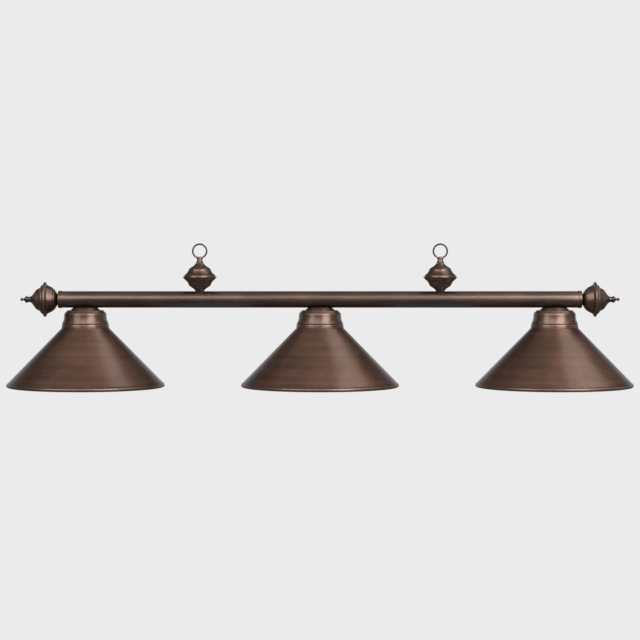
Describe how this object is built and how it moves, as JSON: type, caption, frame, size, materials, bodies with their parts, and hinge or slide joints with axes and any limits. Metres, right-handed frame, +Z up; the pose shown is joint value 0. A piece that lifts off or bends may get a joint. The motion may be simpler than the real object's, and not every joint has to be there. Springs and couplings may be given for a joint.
{
  "type": "pool table lamp",
  "caption": "Straight bronze bar light for a billiard table: wide cone shades below, cast hanging loops above and turned ball ends, with bulb holders inside the shades.",
  "frame": {"origin": "midway between the two hanging loops, at the height where a chain link bears on the inside top of each loop", "axes": "+X along the bar, +Z up, +Y across the bar, away from the viewer who has +X to the right"},
  "size_m": [1.524, 0.384, 0.3493],
  "materials": {
    "bronze": "satin dark reddish bronze over spun and stamped steel",
    "cast_bronze": "polished dark bronze over castings and turned knobs",
    "zinc_plate": "zinc plated",
    "phenolic": "moulded black phenolic",
    "brass": "plain brass strip",
    "bulb_glass": "inside-frosted glass",
    "black_insulation": "black wire insulation",
    "white_insulation": "white wire insulation"
  },
  "bodies": {
    "fixture": {"bar_tube": "bronze", "live_wire": "black_insulation", "neutral_wire": "white_insulation", "hanger_upper_shell_left": "bronze", "hanger_lower_shell_left": "bronze", "hanger_nipple_left": "zinc_plate", "hanger_nut_left": "zinc_plate", "hanger_upper_shell_right": "bronze", "hanger_lower_shell_right": "bronze", "hanger_nipple_right": "zinc_plate", "hanger_nut_right": "zinc_plate", "end_cap_left": "bronze", "finial_inner_shell_left": "bronze", "finial_outer_shell_left": "bronze", "finial_rod_left": "zinc_plate", "end_cap_right": "bronze", "finial_inner_shell_right": "bronze", "finial_outer_shell_right": "bronze", "finial_rod_right": "zinc_plate", "saddle_left": "cast_bronze", "cover_cup_left": "bronze", "shade_left": "bronze", "holder_nipple_left": "zinc_plate", "holder_nut_left": "zinc_plate", "holder_cap_left": "phenolic", "holder_body_left": "phenolic", "screw_shell_left": "brass", "centre_contact_left": "brass", "saddle_middle": "cast_bronze", "cover_cup_middle": "bronze", "shade_middle": "bronze", "holder_nipple_middle": "zinc_plate", "holder_nut_middle": "zinc_plate", "holder_cap_middle": "phenolic", "holder_body_middle": "phenolic", "screw_shell_middle": "brass", "centre_contact_middle": "brass", "saddle_right": "cast_bronze", "cover_cup_right": "bronze", "shade_right": "bronze", "holder_nipple_right": "zinc_plate", "holder_nut_right": "zinc_plate", "holder_cap_right": "phenolic", "holder_body_right": "phenolic", "screw_shell_right": "brass", "centre_contact_right": "brass"},
    "loop_left": {"hanging_loop_left": "cast_bronze"},
    "knob_left": {"finial_knob_left": "cast_bronze"},
    "loop_right": {"hanging_loop_right": "cast_bronze"},
    "knob_right": {"finial_knob_right": "cast_bronze"},
    "bulb_left": {"bulb_cap_left": "zinc_plate", "bulb_glass_left": "bulb_glass"},
    "ring_left": {"shade_ring_left": "phenolic"},
    "bulb_middle": {"bulb_cap_middle": "zinc_plate", "bulb_glass_middle": "bulb_glass"},
    "ring_middle": {"shade_ring_middle": "phenolic"},
    "bulb_right": {"bulb_cap_right": "zinc_plate", "bulb_glass_right": "bulb_glass"},
    "ring_right": {"shade_ring_right": "phenolic"}
  },
  "joints": [
    {"name": "loop_left_swivel", "type": "hinge", "parent": "fixture", "child": "loop_left", "pos_m": [-0.292, 0, 0], "axis": [0, 0, 1], "range_deg": [-90, 90]},
    {"name": "loop_right_swivel", "type": "hinge", "parent": "fixture", "child": "loop_right", "pos_m": [0.292, 0, 0], "axis": [0, 0, 1], "range_deg": [-90, 90]},
    {"name": "knob_left_turn", "type": "hinge", "parent": "fixture", "child": "knob_left", "pos_m": [-0.715, 0, -0.132], "axis": [-1, 0, 0], "continuous": true},
    {"name": "knob_right_turn", "type": "hinge", "parent": "fixture", "child": "knob_right", "pos_m": [0.715, 0, -0.132], "axis": [1, 0, 0], "continuous": true},
    {"name": "bulb_left_turn", "type": "hinge", "parent": "fixture", "child": "bulb_left", "pos_m": [-0.57, 0, -0.232], "axis": [0, 0, 1], "continuous": true},
    {"name": "ring_left_turn", "type": "hinge", "parent": "fixture", "child": "ring_left", "pos_m": [-0.57, 0, -0.185], "axis": [0, 0, 1], "continuous": true},
    {"name": "bulb_middle_turn", "type": "hinge", "parent": "fixture", "child": "bulb_middle", "pos_m": [0, 0, -0.232], "axis": [0, 0, 1], "continuous": true},
    {"name": "ring_middle_turn", "type": "hinge", "parent": "fixture", "child": "ring_middle", "pos_m": [0, 0, -0.185], "axis": [0, 0, 1], "continuous": true},
    {"name": "bulb_right_turn", "type": "hinge", "parent": "fixture", "child": "bulb_right", "pos_m": [0.57, 0, -0.232], "axis": [0, 0, 1], "continuous": true},
    {"name": "ring_right_turn", "type": "hinge", "parent": "fixture", "child": "ring_right", "pos_m": [0.57, 0, -0.185], "axis": [0, 0, 1], "continuous": true}
  ]
}
